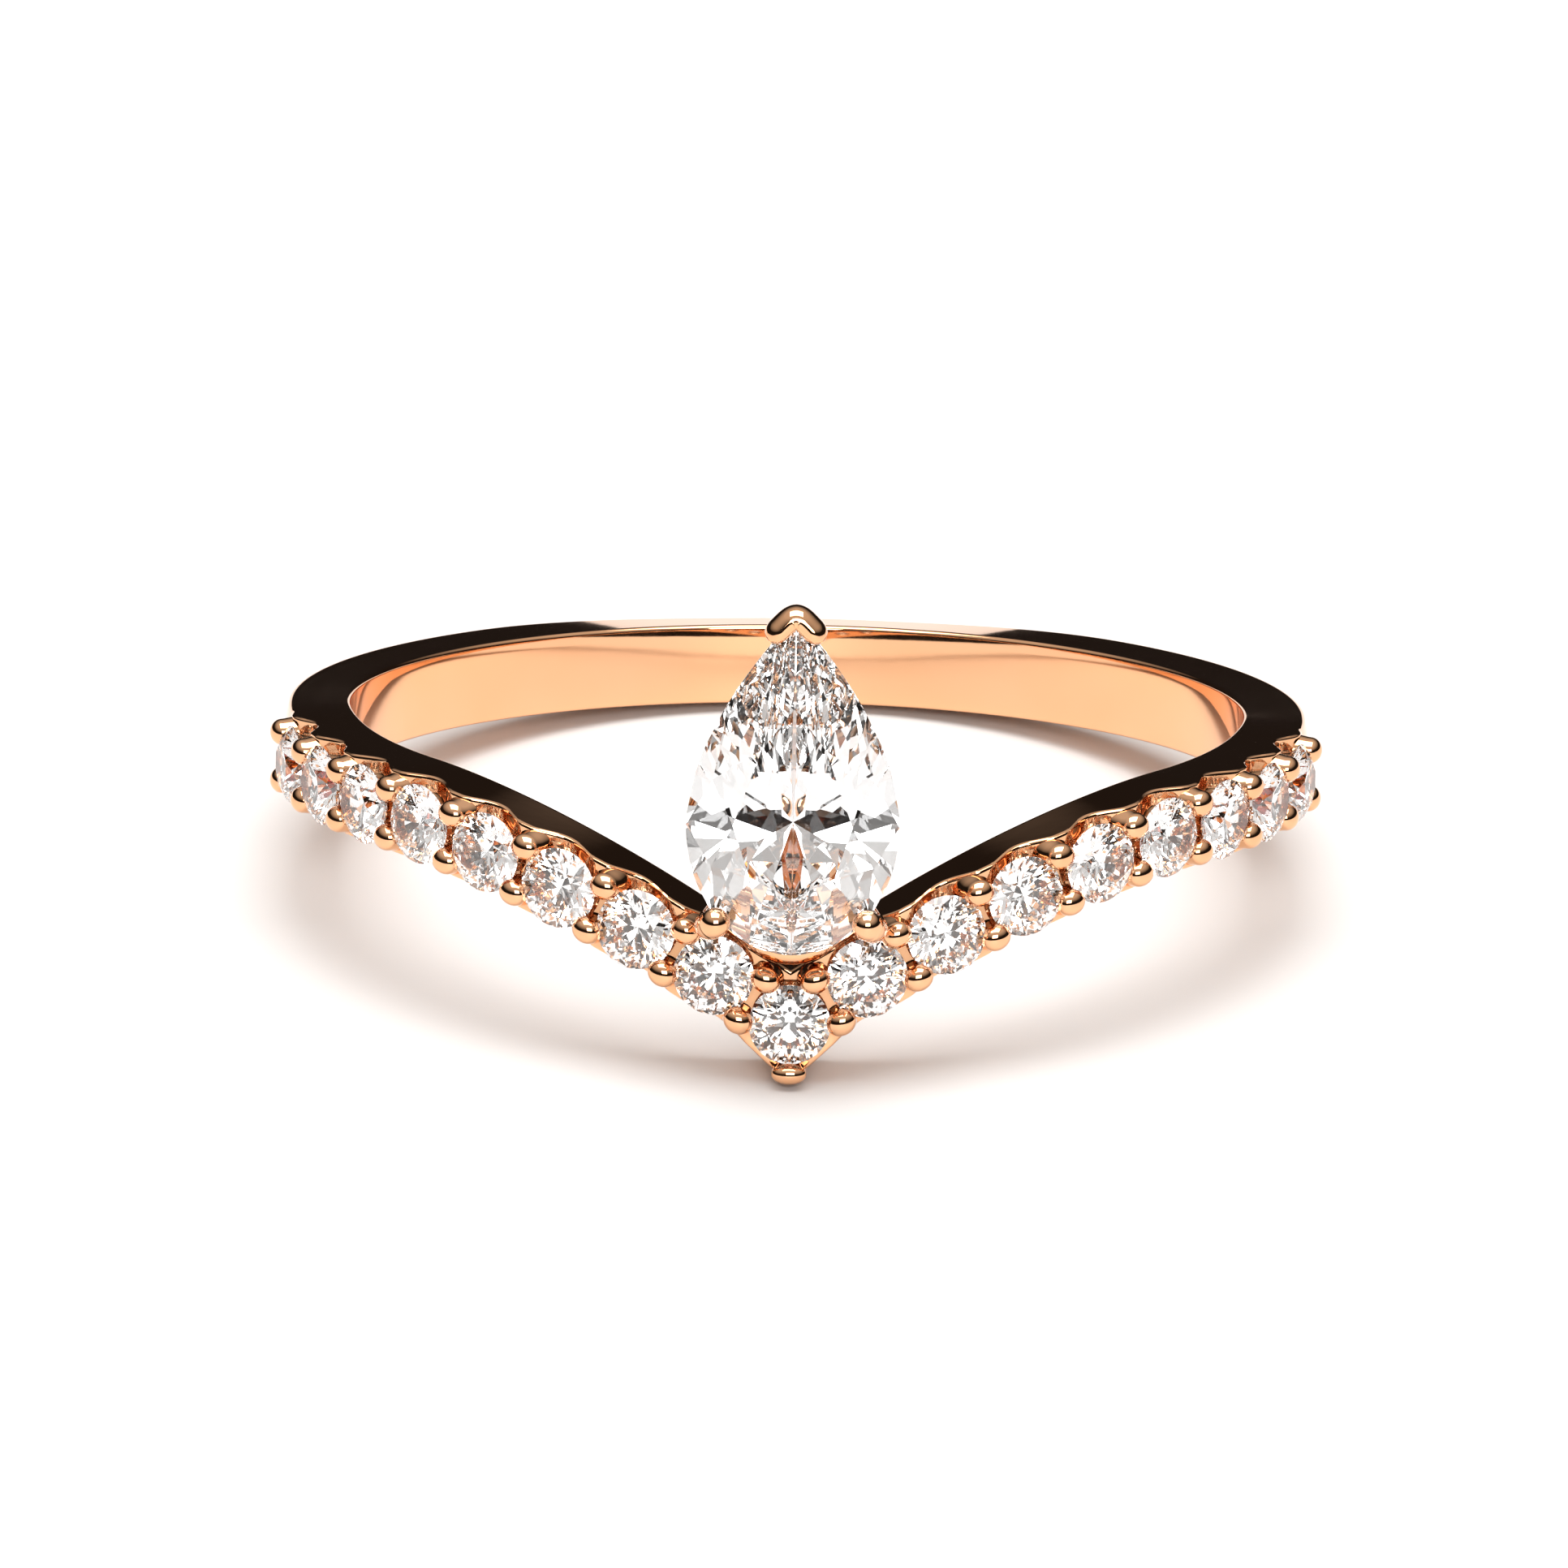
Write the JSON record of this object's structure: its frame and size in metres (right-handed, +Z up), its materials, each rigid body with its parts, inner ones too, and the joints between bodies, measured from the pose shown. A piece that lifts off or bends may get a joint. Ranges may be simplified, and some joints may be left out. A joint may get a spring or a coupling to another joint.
{
  "type": "engagement ring",
  "caption": "Rose gold chevron engagement ring with a pear centre stone in an open claw head and round brilliants shared-prong set along both arms.",
  "frame": {"origin": "middle of the footprint, on the surface that the ring lies on", "axes": "+Z up, -Y towards the chevron's point and the pear stone, +X to the right seen from the front; the finger's axis leans 8.8 degrees back from +Z"},
  "size_m": [0.0204, 0.0216, 0.0095],
  "materials": {
    "rose_gold": "high polish",
    "diamond": "faceted and polished"
  },
  "bodies": {
    "root": {"shank": "rose_gold", "gallery_rail": "rose_gold", "seat_rail": "rose_gold", "v_claw": "rose_gold", "claw_left": "rose_gold", "claw_right": "rose_gold", "pear_centre_stone": "diamond", "melee_point": "diamond", "melee_left_1": "diamond", "melee_left_2": "diamond", "melee_left_3": "diamond", "melee_left_4": "diamond", "melee_left_5": "diamond", "melee_left_6": "diamond", "melee_left_7": "diamond", "melee_left_8": "diamond", "melee_right_1": "diamond", "melee_right_2": "diamond", "melee_right_3": "diamond", "melee_right_4": "diamond", "melee_right_5": "diamond", "melee_right_6": "diamond", "melee_right_7": "diamond", "melee_right_8": "diamond"}
  },
  "joints": []
}
